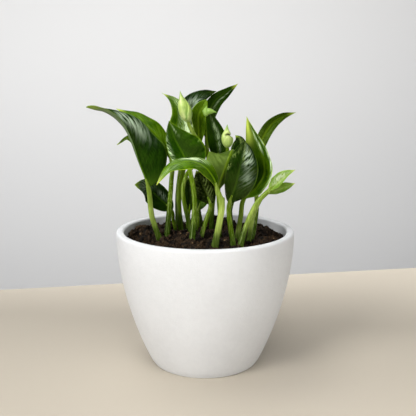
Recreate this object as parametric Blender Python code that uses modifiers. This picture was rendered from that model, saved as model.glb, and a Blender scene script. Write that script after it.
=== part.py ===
# Potted plant: a matte white pot, potting soil, and a clump of young leaves.
# Each leaf is a stalk that comes up out of the soil and a blade at its end; two are still rolled buds.
# Metres, +Z up. Origin on the pot's axis, on the face that it stands on.
import math

import bmesh
import bpy
import numpy as np

MM = 0.001

# Pot
POT_RADIUS = 70.2 * MM       # outside, at the rim
POT_HEIGHT = 107.6 * MM
BASE_RADIUS = 43.0 * MM
POT_BULGE = 17.0 * MM        # how far the side's lower handle stands out past the base
POT_SHOULDER = 0.9 * MM      # how far the side's upper handle stands out past the rim
UPPER_HANDLE = 0.29          # how far each handle of the side reaches, over the pot's height
LOWER_HANDLE = 0.31
POT_WALL = 6.0 * MM
POT_FLOOR = 6.0 * MM         # thickness of the bottom
RIM_ROUND = 2.4 * MM
BASE_ROUND = 1.2 * MM
ROUND_SIDES = 40             # around the pot and the soil
SIDE_POINTS = 10             # down the pot's outer side
INNER_POINTS = 7             # down its inner side

# Soil
SOIL_DROP = 5.6 * MM         # rim down to the soil
SOIL_BUMP = 1.4 * MM         # highest clump over the soil's level
SOIL_HEAP = 2.0 * MM         # how far the soil rises from its edge to its middle
SOIL_WAVES = [(190, 160, 1.0), (330, -260, 0.0), (150, 420, 2.0)]   # across X and Y per metre, phase
SOIL_RINGS = 7
SOIL_EDGE = 1.0 * MM         # the soil is level this close to the wall
ROOT_DEPTH = 14.0 * MM       # how far each stalk goes into the soil
GAP = 0.3 * MM               # between pieces that touch
ROOT_GAP = 0.36 * MM         # stalk to soil, round the stalk
JOINT_GAP = 0.8 * MM         # stalk to blade, so that a blade end at a slant still clears its stalk

# Plant
BLADE_THICKNESS = 0.8 * MM
BLADE_END = 1.3 * MM         # half width of a blade where its stalk ends
BLADE_TIP = 0.4 * MM         # half width at its tip
BLADE_ALONG = 10             # faces along a blade
BLADE_ACROSS = 6             # and across it
STALK_POINTS = 8
STALK_TAPER = 0.8            # radius at the blade, over the radius at the soil
BUD_SIDES = 12
BUD_RINGS = 9
BUD_LOW = 0.8                # less puts a bud's fullest place lower
BUD_FULL = 0.85              # less makes it fuller towards its ends

DARK = (0.020, 0.075, 0.022)
BRIGHT = (0.090, 0.260, 0.030)
OLIVE = (0.070, 0.150, 0.040)
PALE = (0.330, 0.500, 0.160)
STALK_GREEN = (0.200, 0.360, 0.070)

# Every shoot in millimetres, from the middle of the soil's surface: +X right, -Y to the front.
# stalk: from the soil to the blade. rib: the blade's midrib, from the stalk to the tip.
# face: the way the upper face looks, at even steps along the rib. half: widest half width.
# wide, fold, curl, peak, taper: one value for each side of the rib, left then right, seen on the
# upper face with the tip up. wide scales the half width, fold tips the side up in degrees, and
# curl bends it further by its margin. peak: where along the rib the side is widest. taper: 1
# tapers straight to the tip, more draws it out.
SHOOTS = {
    "left_large": dict(
        stalk=[(-35, -16, 0), (-41, -17, 20)], radius=2.2,
        rib=[(-43, -20, 42), (-50, -22, 63), (-57, -25, 83), (-64, -28, 93), (-72, -31, 99),
             (-79, -34, 101), (-85, -37, 103)],
        face=[(0.75, -0.65, 0.1), (0.7, -0.6, 0.3), (0.22, -0.45, 0.85)],
        half=22, wide=(0.45, 1.08), fold=(50, 38), curl=(10, -25), peak=(0.8, 0.26),
        taper=(0.55, 2.0), colour=DARK),
    "left_bright": dict(
        stalk=[(-30, -11, 0), (-28, -3, 25), (-27, 8, 42)], radius=2.1,
        rib=[(-27, 13, 58), (-37, 15, 76), (-52, 21, 89), (-72, 29, 99)],
        face=[(0.1, -0.5, 0.9)],
        half=7.8, wide=(1.0, 1.15), fold=(25, 25), curl=(-10, -10), peak=(0.45, 0.45), colour=BRIGHT),
    "centre": dict(
        stalk=[(-10, -29, 0), (-8, -18, 31)], radius=2.2,
        rib=[(-12, -12, 55), (-16, -13, 65), (-23, -15, 79), (-27, -19, 92)],
        face=[(-0.2, -1.0, 0.25), (-0.3, -1.0, 0.1)],
        half=18, wide=(0.6, 1.05), fold=(25, 15), curl=(20, -10), peak=(0.32, 0.32), taper=(0.95,
        0.95), colour=BRIGHT),
    "front_arched": dict(
        stalk=[(7, -40, 0), (11, -42, 23), (12, -43, 34)], radius=2.5,
        rib=[(9, -44, 43), (6, -47, 53), (-1, -50, 62), (-12, -54, 66), (-26, -57, 62), (-34, -59, 50)],
        face=[(0.3, -0.9, 0.3), (0.0, -0.55, 0.85), (-0.6, -0.5, 0.6)],
        half=12, wide=(0.7, 1), fold=(5, -20), curl=(-10, -10), peak=(0.55, 0.5), colour=BRIGHT),
    "middle_olive": dict(
        stalk=[(11, -15, 0), (11, -27, 22)], radius=1.8,
        rib=[(10, -25, 41), (14, -26, 55), (18, -26, 66), (20, -21, 70), (21, -14, 70)],
        face=[(0.1, 1.0, 0.2), (0.1, 1.0, 0.0), (0.05, 0.4, -1.0)],
        half=17.5, wide=(0.4, 1), fold=(15, 15), curl=(10, 10), peak=(0.55, 0.58), taper=(0.6,
        0.6), colour=OLIVE),
    "front_round": dict(
        stalk=[(21, -34, 0), (18, -30, 21)], radius=2.1,
        rib=[(18, -32, 32), (22, -35, 45), (25, -36, 58), (27, -35, 68), (29, -31, 78)],
        face=[(-0.1, -1.0, 0.15), (0.0, -1.0, 0.4)],
        half=12.4, wide=(0.78, 1.15), fold=(10, 10), curl=(-30, -30), peak=(0.5, 0.5), taper=(0.7,
        0.8), colour=DARK),
    "right_rear": dict(
        stalk=[(19, 36, 0), (22, 28, 20), (26, 12, 37)], radius=1.7,
        rib=[(27, 4, 52), (27, 6, 66), (27, 9, 75), (24, 12, 79)],
        face=[(0.1, -1.0, 0.3)],
        half=7.5, fold=(10, 10), curl=(0, 0), peak=(0.45, 0.45), colour=DARK),
    "right_tall": dict(
        stalk=[(24, -23, 0), (27, -22, 20)], radius=2.1,
        rib=[(29, -22, 33), (39, -19, 42), (45, -17, 53), (43, -16, 66), (37, -15, 80), (31, -14, 95)],
        face=[(-0.5, -0.85, 0.0), (-0.5, -0.85, 0.1), (-0.5, -0.85, 0.0)],
        half=15, wide=(1.0, 0.95), fold=(15, 35), curl=(0, 15), peak=(0.33, 0.42), colour=BRIGHT),
    "far_right": dict(
        stalk=[(36, -18, 0), (40, -8, 22), (40, 0, 39)], radius=1.9,
        rib=[(41, 6, 52), (43, 11, 70), (51, 18, 85), (62, 25, 93), (74, 31, 96)],
        face=[(-0.3, -0.9, 0.1)],
        half=6.6, wide=(0.72, 0.9), fold=(15, 15), curl=(0, 0), peak=(0.45, 0.45), colour=OLIVE),
    "top_arched": dict(
        stalk=[(-23, 32, 0), (-23, 27, 28), (-19, 20, 58)], radius=1.8,
        rib=[(-15, 18, 77), (-15, 22, 93), (-8, 26, 105), (0, 29, 110), (9, 31, 113)],
        face=[(-0.5, -0.7, 0.5), (-0.2, -0.7, 0.7)],
        half=9.8, fold=(15, 15), curl=(-10, -10), peak=(0.5, 0.5), colour=DARK),
    "top_right": dict(
        stalk=[(2, 32, 0), (5, 28, 24), (3, 22, 54)], radius=1.8,
        rib=[(1, 24, 74), (1, 26, 90), (7, 30, 104), (17, 34, 112), (27, 38, 119)],
        face=[(0.1, -1.0, 0.2)],
        half=8.2, wide=(0.7, 0.85), fold=(15, 15), curl=(0, 0), peak=(0.45, 0.45), colour=DARK),
    "rear_olive": dict(
        stalk=[(-10, -8, 0), (-17, -7, 33), (-15, -4, 48), (-8, 3, 58)], radius=1.8,
        rib=[(-6, 7, 67), (-5, 9, 82), (-5, 10, 95), (1, 10, 107)],
        face=[(-0.2, -1.0, 0.0)],
        half=6.8, fold=(10, 10), curl=(20, 20), peak=(0.6, 0.6), taper=(0.7, 0.7), colour=OLIVE),
    "middle_dark": dict(
        stalk=[(5, 10, 0), (6, 6, 23)], radius=1.8,
        rib=[(10, 2, 59), (9, 2, 76), (5, 1, 90), (1, -1, 102)],
        face=[(0.1, -1.0, 0.2)],
        half=7.6, fold=(10, 10), curl=(0, 0), peak=(0.38, 0.38), taper=(1.2, 1.2), colour=DARK),
    "upper_left": dict(
        stalk=[(-19, 4, 0), (-21, 4, 28)], radius=2.3,
        rib=[(-17, 4, 54), (-14, 5, 68), (-17, 5, 84), (-19, 6, 97), (-25, 9, 106), (-34, 14, 112)],
        face=[(-0.1, -1.0, 0.3)],
        half=12.5, wide=(1.05, 0.7), fold=(15, 15), curl=(0, 0), peak=(0.34, 0.42), taper=(1.7,
        1.4), colour=BRIGHT),
    "low_left": dict(
        stalk=[(-24, 17, 0), (-26, 13, 10)], radius=1.6,
        rib=[(-27, 8, 19), (-37, 4, 30), (-45, -4, 39), (-54, -12, 43)],
        face=[(-0.2, -0.9, 0.4)],
        half=9.5, fold=(15, 15), curl=(-10, -10), peak=(0.45, 0.45), taper=(0.8, 0.8), colour=DARK),
    "left_rear": dict(
        stalk=[(-39, 2, 0), (-42, 4, 16), (-44, 6, 36)], radius=1.5,
        rib=[(-44, 8, 55), (-49, 12, 66), (-60, 18, 76), (-72, 26, 70)],
        face=[(0.1, -0.7, 0.8)],
        half=4.7, fold=(20, 20), curl=(-10, -10), peak=(0.45, 0.45), colour=BRIGHT),
    "inner_left": dict(
        stalk=[(-16, 10, 0), (-14, 6, 10)], radius=1.5,
        rib=[(-13, 4, 18), (-12, 3, 32), (-14, 2, 48)],
        face=[(0.1, -1.0, 0.1)],
        half=5, fold=(20, 20), curl=(-10, -10), peak=(0.45, 0.45), colour=DARK),
    "inner_dark": dict(
        stalk=[(-4, -20, 0), (1, -16, 17)], radius=1.9,
        rib=[(4, -13, 27), (0, -8, 37), (-7, -3, 53)],
        face=[(0.1, -1.0, 0.2)],
        half=8.5, fold=(10, 10), curl=(-10, -10), peak=(0.45, 0.45), colour=DARK),
    "inner_small": dict(
        stalk=[(-8, -1, 0), (-6, 0, 11)], radius=1.5,
        rib=[(-6, 4, 19), (-3, 6, 28), (1, 10, 40)],
        face=[(0.1, -1.0, 0.2)],
        half=5.5, fold=(10, 10), curl=(0, 0), peak=(0.45, 0.45), colour=BRIGHT),
    "young_upper": dict(
        stalk=[(26, -37, 0), (31, -32, 16), (38, -33, 32)], radius=2.1,
        rib=[(47, -34, 42), (53, -38, 48), (58, -42, 54), (64, -46, 59)],
        face=[(-0.3, -0.8, 0.5)],
        half=5, wide=(1.2, 1), fold=(30, 30), curl=(10, 10), peak=(0.42, 0.42), colour=PALE),
    "young_lower": dict(
        stalk=[(33, -24, 0), (36, -24, 19), (40, -26, 31)], radius=1.7,
        rib=[(45, -27, 38), (55, -24, 41), (68, -18, 45)],
        face=[(-0.2, -0.8, 0.5)],
        half=4.6, fold=(20, 20), curl=(10, 10), peak=(0.45, 0.45), colour=PALE),
}
# Leaves that are still rolled up: the rib is the bud's axis, and half its largest radius.
BUDS = {
    "tall": dict(
        stalk=[(-3, 24, 0), (-6, 16, 24), (-4, 6, 48), (-6, -2, 74)], radius=1.8,
        rib=[(-13, -4, 90), (-19, -4, 114)], half=5.2, colour=PALE),
    "small": dict(
        stalk=[(22, 28, 0), (20, 10, 23), (19, -4, 49)], radius=1.6,
        rib=[(17, -10, 71), (17, -10, 89)], half=4.6, colour=PALE),
}


def clear_scene():
    for old in list(bpy.data.objects):
        bpy.data.objects.remove(old, do_unlink=True)


def new_collection(name):
    collection = bpy.data.collections.new(name)
    bpy.context.scene.collection.children.link(collection)
    return collection


def finish(obj, colour, roughness, collection):
    """Give an object its own material and put it in its collection."""
    material = bpy.data.materials.new(obj.name + "_finish")
    material.use_nodes = True
    shader = material.node_tree.nodes["Principled BSDF"]
    shader.inputs["Base Color"].default_value = (*colour, 1.0)
    shader.inputs["Roughness"].default_value = roughness
    shader.inputs["Metallic"].default_value = 0.0
    obj.data.materials.append(material)
    collection.objects.link(obj)
    return obj


def smooth_line(points, count, first=0, last=None):
    """Even points along a smooth curve through the given ones (Catmull-Rom), from first to last."""
    p = np.array(points, dtype=float)
    last = len(p) - 1 if last is None else last
    p = np.vstack([2 * p[0] - p[1], p, 2 * p[-1] - p[-2]])
    t = np.linspace(0, 1, 40, endpoint=False)[:, None]
    parts = []
    for i in range(first, last):
        a, b, c, d = p[i:i + 4]
        parts.append(b + (c - a) * t / 2 + (2 * a - 5 * b + 4 * c - d) * t**2 / 2
                     + (3 * b - a - 3 * c + d) * t**3 / 2)
    fine = np.vstack(parts + [p[last + 1:last + 2]])
    run = np.concatenate([[0], np.cumsum(np.linalg.norm(np.diff(fine, axis=0), axis=1))])
    even = np.linspace(0, run[-1], count)
    return np.stack([np.interp(even, run, fine[:, k]) for k in range(3)], axis=1)


def unit(vectors):
    return vectors / np.linalg.norm(vectors, axis=-1, keepdims=True)


def on_soil(points):
    """Shoot coordinates in millimetres to metres, measured from the soil's surface."""
    return np.array(points, dtype=float) * MM + (0, 0, POT_HEIGHT - SOIL_DROP)


def pot_outside():
    """The side of the pot from the rim down to the base, as (radius, height) points of a Bezier."""
    top = np.array([POT_RADIUS, POT_HEIGHT])
    bottom = np.array([BASE_RADIUS, 0.0])
    upper = top + (POT_SHOULDER, -UPPER_HANDLE * POT_HEIGHT)
    lower = bottom + (POT_BULGE, LOWER_HANDLE * POT_HEIGHT)
    t = np.linspace(0, 1, SIDE_POINTS)[:, None]
    return top * (1 - t)**3 + upper * 3 * t * (1 - t)**2 + lower * 3 * t**2 * (1 - t) + bottom * t**3


def side_radius(height, inset):
    """Radius of the pot's side at a height, moved in by an inset."""
    line = pot_outside()[::-1]
    return float(np.interp(height, line[:, 1], line[:, 0])) - inset


def inner_side(low, high, inset):
    """(radius, height) points up the pot's inner side between two heights."""
    heights = np.linspace(low, high, INNER_POINTS)
    return [(side_radius(z, inset), z) for z in heights]


def arc(centre, radius, start, end, steps=3):
    """(radius, height) points on an arc between two angles in degrees."""
    angles = np.radians(np.linspace(start, end, steps + 1))
    return [(centre[0] + radius * math.cos(a), centre[1] + radius * math.sin(a)) for a in angles]


def turned(name, profile, steps=ROUND_SIDES):
    """Turn a profile of (radius, height) points about Z; its outer side runs top to bottom."""
    mesh = bpy.data.meshes.new(name)
    points = [(r, 0.0, z) for r, z in profile]
    mesh.from_pydata(points, [(i, i + 1) for i in range(len(points) - 1)], [])
    obj = bpy.data.objects.new(name, mesh)
    screw = obj.modifiers.new("Turn", "SCREW")
    screw.axis = "Z"
    screw.steps = steps
    screw.render_steps = steps
    screw.use_merge_vertices = True
    screw.merge_threshold = 0.00002
    screw.use_smooth_shade = True
    return obj


def as_mesh(obj, name):
    """The evaluated mesh of an object as a new plain object, with its doubles welded."""
    bpy.context.view_layer.update()
    evaluated = obj.evaluated_get(bpy.context.evaluated_depsgraph_get())
    mesh = bpy.data.meshes.new_from_object(evaluated)
    bm = bmesh.new()
    bm.from_mesh(mesh)
    bmesh.ops.remove_doubles(bm, verts=bm.verts, dist=0.00001)
    bm.to_mesh(mesh)
    bm.free()
    plain = bpy.data.objects.new(name, mesh)
    plain.matrix_world = obj.matrix_world.copy()
    return plain


def make_pot(parts):
    outside = pot_outside()
    rim = POT_HEIGHT - RIM_ROUND
    inner_top = POT_RADIUS - POT_WALL
    base = BASE_RADIUS - BASE_ROUND
    side = [tuple(p) for p in outside if BASE_ROUND * 2 < p[1] < rim - RIM_ROUND]
    profile = [(0.0, POT_FLOOR)]
    profile += inner_side(POT_FLOOR, rim - RIM_ROUND, POT_WALL)
    profile += arc((inner_top + RIM_ROUND, rim), RIM_ROUND, 180, 90)
    profile += arc((POT_RADIUS - RIM_ROUND, rim), RIM_ROUND, 90, 0)
    profile += side
    profile += arc((base, BASE_ROUND), BASE_ROUND, -20, -90)
    profile += [(0.0, 0.0)]
    return finish(turned("pot", profile), (0.86, 0.86, 0.85), 0.55, parts)


def soil_height(x, y):
    """Clumps of the soil's surface: the mean of a few crossed waves, on a low heap."""
    heap = SOIL_HEAP * (1 - (x * x + y * y) / (POT_RADIUS - POT_WALL)**2)
    waves = [math.sin(across * x + along * y + phase) for across, along, phase in SOIL_WAVES]
    return heap + SOIL_BUMP * sum(waves) / len(waves)


def make_soil(parts, guides, stalks):
    top = POT_HEIGHT - SOIL_DROP
    inset = POT_WALL + GAP
    wall = inner_side(POT_FLOOR + GAP, top, inset)[::-1]
    rings = [(wall[0][0] * k / SOIL_RINGS, top) for k in range(SOIL_RINGS)]
    body = turned("soil_body", rings + wall + [(0.0, POT_FLOOR + GAP)])
    guides.objects.link(body)
    soil = as_mesh(body, "soil")
    bpy.data.objects.remove(body, do_unlink=True)
    for vertex in soil.data.vertices:
        x, y, z = vertex.co
        if z > top - GAP and math.hypot(x, y) < wall[0][0] - SOIL_EDGE:
            vertex.co.z = top + soil_height(x, y)
    finish(soil, (0.045, 0.028, 0.018), 0.95, parts)
    for name, path, radius in stalks:
        buried = int((path[:, 2] < top + SOIL_HEAP + 2 * SOIL_BUMP).sum())
        socket_path = path[:buried + 1].copy()
        socket_path[0, 2] -= GAP
        tube = stalk_tube(name + "_socket", socket_path, radius + ROOT_GAP, len(path))
        guides.objects.link(tube)
        cutter = as_mesh(tube, name + "_socket_cutter")
        bpy.data.objects.remove(tube, do_unlink=True)
        guides.objects.link(cutter)
        cutter.hide_render = True
        cutter.display_type = "WIRE"
        cut = soil.modifiers.new(name, "BOOLEAN")
        cut.operation = "DIFFERENCE"
        cut.object = cutter
    return soil


def stalk_tube(name, path, radius, count):
    """A round tube along a path; its radius tapers over the count of points of a whole stalk."""
    curve = bpy.data.curves.new(name, "CURVE")
    curve.dimensions = "3D"
    curve.bevel_depth = radius
    curve.bevel_resolution = 2
    curve.use_fill_caps = True
    spline = curve.splines.new("POLY")
    spline.points.add(len(path) - 1)
    for i, (point, place) in enumerate(zip(spline.points, path)):
        point.co = (*place, 1.0)
        point.radius = 1 - (1 - STALK_TAPER) * i / (count - 1)
    spline.use_smooth = True
    return bpy.data.objects.new(name, curve)


def shoot_line(shoot):
    """The points of a whole shoot: its root, its stalk and its rib, and where the rib begins."""
    line = on_soil(shoot["stalk"] + shoot["rib"])
    root = line[0] - (0, 0, ROOT_DEPTH)
    return np.vstack([root, line]), len(shoot["stalk"]) + 1


def stalk_path(shoot):
    """From the root in the soil to the blade's end."""
    line, joint = shoot_line(shoot)
    return smooth_line(line, STALK_POINTS, last=joint)


def blade_surface(shoot, u, v):
    """Points of a blade's middle surface, at u along the rib and v across it, from -1 to 1.

    Each side leaves the rib at its fold angle and bends by its curl to the margin, as an arc.
    Its width grows and falls as u^a (1-u)^b, which is 1 at its peak.
    """
    line, joint = shoot_line(shoot)
    stations = smooth_line(line, BLADE_ALONG + 1, first=joint)
    along = unit(np.gradient(stations, axis=0))
    stations[0] += along[0] * JOINT_GAP
    at = np.linspace(0, 1, BLADE_ALONG + 1)
    faces = np.array(shoot["face"], dtype=float)
    steps = np.linspace(0, 1, len(faces))
    look = np.stack([np.interp(at, steps, faces[:, k]) for k in range(3)], axis=1)
    normal = unit(look - (look * along).sum(axis=1, keepdims=True) * along)
    across = np.cross(along, normal)
    row = np.rint(u * BLADE_ALONG).astype(int)
    side = (v > 0).astype(int)
    peak = np.array(shoot["peak"])[side]
    b = np.array(shoot.get("taper", (1.1, 1.1)))[side]
    a = b * peak / (1 - peak)
    width = u**a * (1 - u)**b / (peak**a * (1 - peak)**b) * shoot["half"] * MM
    width = np.maximum(width, BLADE_END + (BLADE_TIP - BLADE_END) * u)
    fold = np.radians(shoot["fold"])[side]
    curl = np.radians(np.where(np.array(shoot["curl"]) == 0, 0.01, shoot["curl"]))[side]
    scale = width * np.array(shoot.get("wide", (1.0, 1.0)))[side]
    bent = fold + curl * np.abs(v)
    out = np.sign(v) * scale * (np.sin(bent) - np.sin(fold)) / curl
    lift = scale * (np.cos(fold) - np.cos(bent)) / curl
    return stations[row] + out[:, None] * across[row] + lift[:, None] * normal[row]


def make_blade(key, shoot, parts):
    bm = bmesh.new()
    bmesh.ops.create_grid(bm, x_segments=BLADE_ACROSS, y_segments=BLADE_ALONG, size=1.0)
    flat = np.array([vertex.co for vertex in bm.verts])
    places = blade_surface(shoot, (flat[:, 1] + 1) / 2, np.round(flat[:, 0], 3))
    for vertex, place in zip(bm.verts, places):
        vertex.co = place
    mesh = bpy.data.meshes.new("leaf_" + key)
    bm.to_mesh(mesh)
    bm.free()
    mesh.shade_smooth()
    obj = bpy.data.objects.new("leaf_" + key, mesh)
    shell = obj.modifiers.new("Thickness", "SOLIDIFY")
    shell.thickness = BLADE_THICKNESS
    shell.offset = 0.0
    return finish(obj, shoot["colour"], 0.3, parts)


def make_bud(key, bud, parts):
    """A rolled leaf: a turned spindle, pointed at both ends and fullest below its middle."""
    start, end = on_soil(bud["rib"])
    axis = end - start
    length = float(np.linalg.norm(axis)) - JOINT_GAP
    profile = []
    for t in np.linspace(1, 0, BUD_RINGS + 1):
        fullness = math.sin(math.pi * t**BUD_LOW)**BUD_FULL if 0 < t < 1 else 0.0
        profile.append((bud["half"] * MM * fullness, t * length))
    obj = turned("bud_" + key, profile, steps=BUD_SIDES)
    direction = unit(axis)
    turn = math.atan2(direction[1], direction[0])
    lean = math.acos(direction[2])
    obj.rotation_euler = (0, lean, turn)
    obj.location = start + direction * JOINT_GAP
    return finish(obj, bud["colour"], 0.35, parts)


def make_stalks(parts):
    stalks = []
    for key, shoot in {**SHOOTS, **BUDS}.items():
        name = "stalk_" + key
        path = stalk_path(shoot)
        radius = shoot["radius"] * MM
        finish(stalk_tube(name, path, radius, len(path)), STALK_GREEN, 0.35, parts)
        stalks.append((name, path, radius))
    return stalks


def main():
    clear_scene()
    parts = new_collection("potted_plant")
    guides = new_collection("cutters")
    make_pot(parts)
    stalks = make_stalks(parts)
    make_soil(parts, guides, stalks)
    for key, shoot in SHOOTS.items():
        make_blade(key, shoot, parts)
    for key, bud in BUDS.items():
        make_bud(key, bud, parts)


main()
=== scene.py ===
import math

import bpy
import numpy as np
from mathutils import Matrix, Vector


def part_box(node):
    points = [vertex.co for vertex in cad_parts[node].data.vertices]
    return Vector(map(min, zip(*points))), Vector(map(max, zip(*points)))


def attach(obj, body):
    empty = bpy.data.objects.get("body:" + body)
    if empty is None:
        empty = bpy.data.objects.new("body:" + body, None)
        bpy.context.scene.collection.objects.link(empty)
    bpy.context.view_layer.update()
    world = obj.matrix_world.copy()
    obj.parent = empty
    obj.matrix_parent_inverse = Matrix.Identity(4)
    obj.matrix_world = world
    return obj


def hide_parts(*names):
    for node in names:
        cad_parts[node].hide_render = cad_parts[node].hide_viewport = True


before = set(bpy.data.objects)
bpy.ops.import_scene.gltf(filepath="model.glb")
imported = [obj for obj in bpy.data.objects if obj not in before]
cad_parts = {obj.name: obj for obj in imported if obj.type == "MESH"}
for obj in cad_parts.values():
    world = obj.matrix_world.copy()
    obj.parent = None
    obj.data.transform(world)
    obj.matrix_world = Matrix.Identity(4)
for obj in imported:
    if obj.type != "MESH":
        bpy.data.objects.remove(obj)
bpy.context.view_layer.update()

mm = 0.001
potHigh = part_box("pot")[1]
curveSteps = 60          # points on each stretch of a smooth curve
poleRadius = 0.5 * mm    # the last ring before a pole on the pot's axis
clearance = 0.2 * mm     # between the soil and the pot
latticeHash = (73856093, 19349663, 83492791, 9176137)    # scrambles a lattice corner and its seed
hashMix = 1274126177     # scrambles them once more


def unit(vectors):
    return vectors / np.linalg.norm(vectors, axis=-1, keepdims=True)


def ease(x, low, high):
    # 0 below low, 1 above high, and an s-curve between them
    t = np.clip((x - low) / (high - low), 0, 1)
    return t * t * (3 - 2 * t)


def hump(x, middle, width):
    # bell curve, 1 at its middle
    return np.exp(-((x - middle) / width) ** 2)


def noise(points, cell, seed):
    # random values at the corners of a cubic lattice, mixed by an s-curve along each axis: -1 to 1
    scaled = np.asarray(points) / cell
    corner = np.floor(scaled).astype(np.int64)
    part = scaled - corner
    part = part * part * (3 - 2 * part)
    total = np.zeros(scaled.shape[:-1])
    for step in np.ndindex(2, 2, 2):
        x, y, z = np.moveaxis(corner + np.array(step), -1, 0)
        a, b, c, d = latticeHash
        mixed = (x * a) ^ (y * b) ^ (z * c) ^ (seed * d)
        mixed = (mixed ^ (mixed >> 13)) * hashMix
        value = ((mixed ^ (mixed >> 16)) & 65535) / 32767.5 - 1      # sixteen bits, as -1 to 1
        total += value * np.prod(np.where(np.array(step) == 1, part, 1 - part), axis=-1)
    return total


def smoothCurve(points):
    # Catmull-Rom: each stretch is a cubic whose slopes come from the points on either side
    p = np.array(points, dtype=float)
    p = np.vstack([2 * p[0] - p[1], p, 2 * p[-1] - p[-2]])
    t = np.linspace(0, 1, curveSteps, endpoint=False)[:, None]
    parts = [b + (c - a) * t / 2 + (2 * a - 5 * b + 4 * c - d) * t**2 / 2
             + (3 * b - a - 3 * c + d) * t**3 / 2
             for a, b, c, d in zip(p[:-3], p[1:-2], p[2:-1], p[3:])]
    fine = np.vstack(parts + [p[-2:-1]])
    run = np.concatenate([[0], np.cumsum(np.linalg.norm(np.diff(fine, axis=0), axis=1))])
    return fine, run


def along(curve, lengths):
    # points at the given lengths along a curve
    fine, run = curve
    return np.stack([np.interp(lengths, run, fine[:, k]) for k in range(3)], axis=-1)


def closedRings(rings):
    # rings of points joined into one skin, with a pole that closes each end
    count, around = rings.shape[:2]
    i, j = np.meshgrid(np.arange(count - 1), np.arange(around), indexing="ij")
    after = (j + 1) % around
    low, high = i * around, (i + 1) * around
    quads = np.stack([low + j, low + after, high + after, high + j], axis=-1)
    ring = np.arange(around)
    nextOne = (ring + 1) % around
    last = (count - 1) * around
    firstPole = np.full(around, count * around)
    caps = np.concatenate([np.stack([firstPole, nextOne, ring], axis=1),
                           np.stack([firstPole + 1, last + ring, last + nextOne], axis=1)])
    return withPoles(rings), quads.reshape(-1, 4).tolist() + caps.tolist()


def withPoles(rings):
    # flat list of a value at every point of the rings, then at the two poles
    flat = rings.reshape(-1, *rings.shape[2:])
    return np.concatenate([flat, rings[:1].mean(axis=1), rings[-1:].mean(axis=1)])


def addPiece(name, points, faces, look, replaced=(), values=None, smooth=True):
    # one mesh of the plant; values are attributes, one number for each of its points
    mesh = bpy.data.meshes.new(name)
    mesh.from_pydata(points.tolist(), [], faces)
    corners = np.zeros(len(mesh.vertices) * 3)
    mesh.vertices.foreach_get("co", corners)
    mesh.calc_loop_triangles()
    picked = np.zeros(len(mesh.loop_triangles) * 3, dtype=np.int32)
    mesh.loop_triangles.foreach_get("vertices", picked)
    a, b, c = corners.reshape(-1, 3)[picked].reshape(-1, 3, 3).transpose(1, 0, 2)
    if (a * np.cross(b, c)).sum() < 0:      # the volume inside is positive when faces point outwards
        mesh.flip_normals()
    for key, value in (values or {}).items():
        mesh.attributes.new(key, "FLOAT", "POINT").data.foreach_set("value", value)
    if smooth:
        mesh.shade_smooth()
    mesh.materials.append(look)
    piece = bpy.data.objects.new(name, mesh)
    bpy.context.scene.collection.objects.link(piece)
    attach(piece, "root")
    if replaced:
        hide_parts(*replaced)
    return piece


def addRings(name, rings, values, look, replaced=()):
    # a closed skin through rings of points; values has one number for each point of the rings
    points, faces = closedRings(rings)
    flat = {key: withPoles(value) for key, value in values.items()}
    addPiece(name, points, faces, look, replaced, flat)


class Link:
    # an output socket of a material's nodes; arithmetic on it adds Math nodes
    def __init__(self, paint, socket):
        self.paint = paint
        self.socket = socket

    def maths(self, operation, first, second=0.0):
        return self.paint.node("ShaderNodeMath", {"operation": operation}, {0: first, 1: second})

    def __add__(self, other):
        return self.maths("ADD", self, other)

    def __sub__(self, other):
        return self.maths("SUBTRACT", self, other)

    def __rsub__(self, other):
        return self.maths("SUBTRACT", other, self)

    def __mul__(self, other):
        return self.maths("MULTIPLY", self, other)

    def __abs__(self):
        return self.maths("ABSOLUTE", self)

    __radd__ = __add__
    __rmul__ = __mul__


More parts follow.
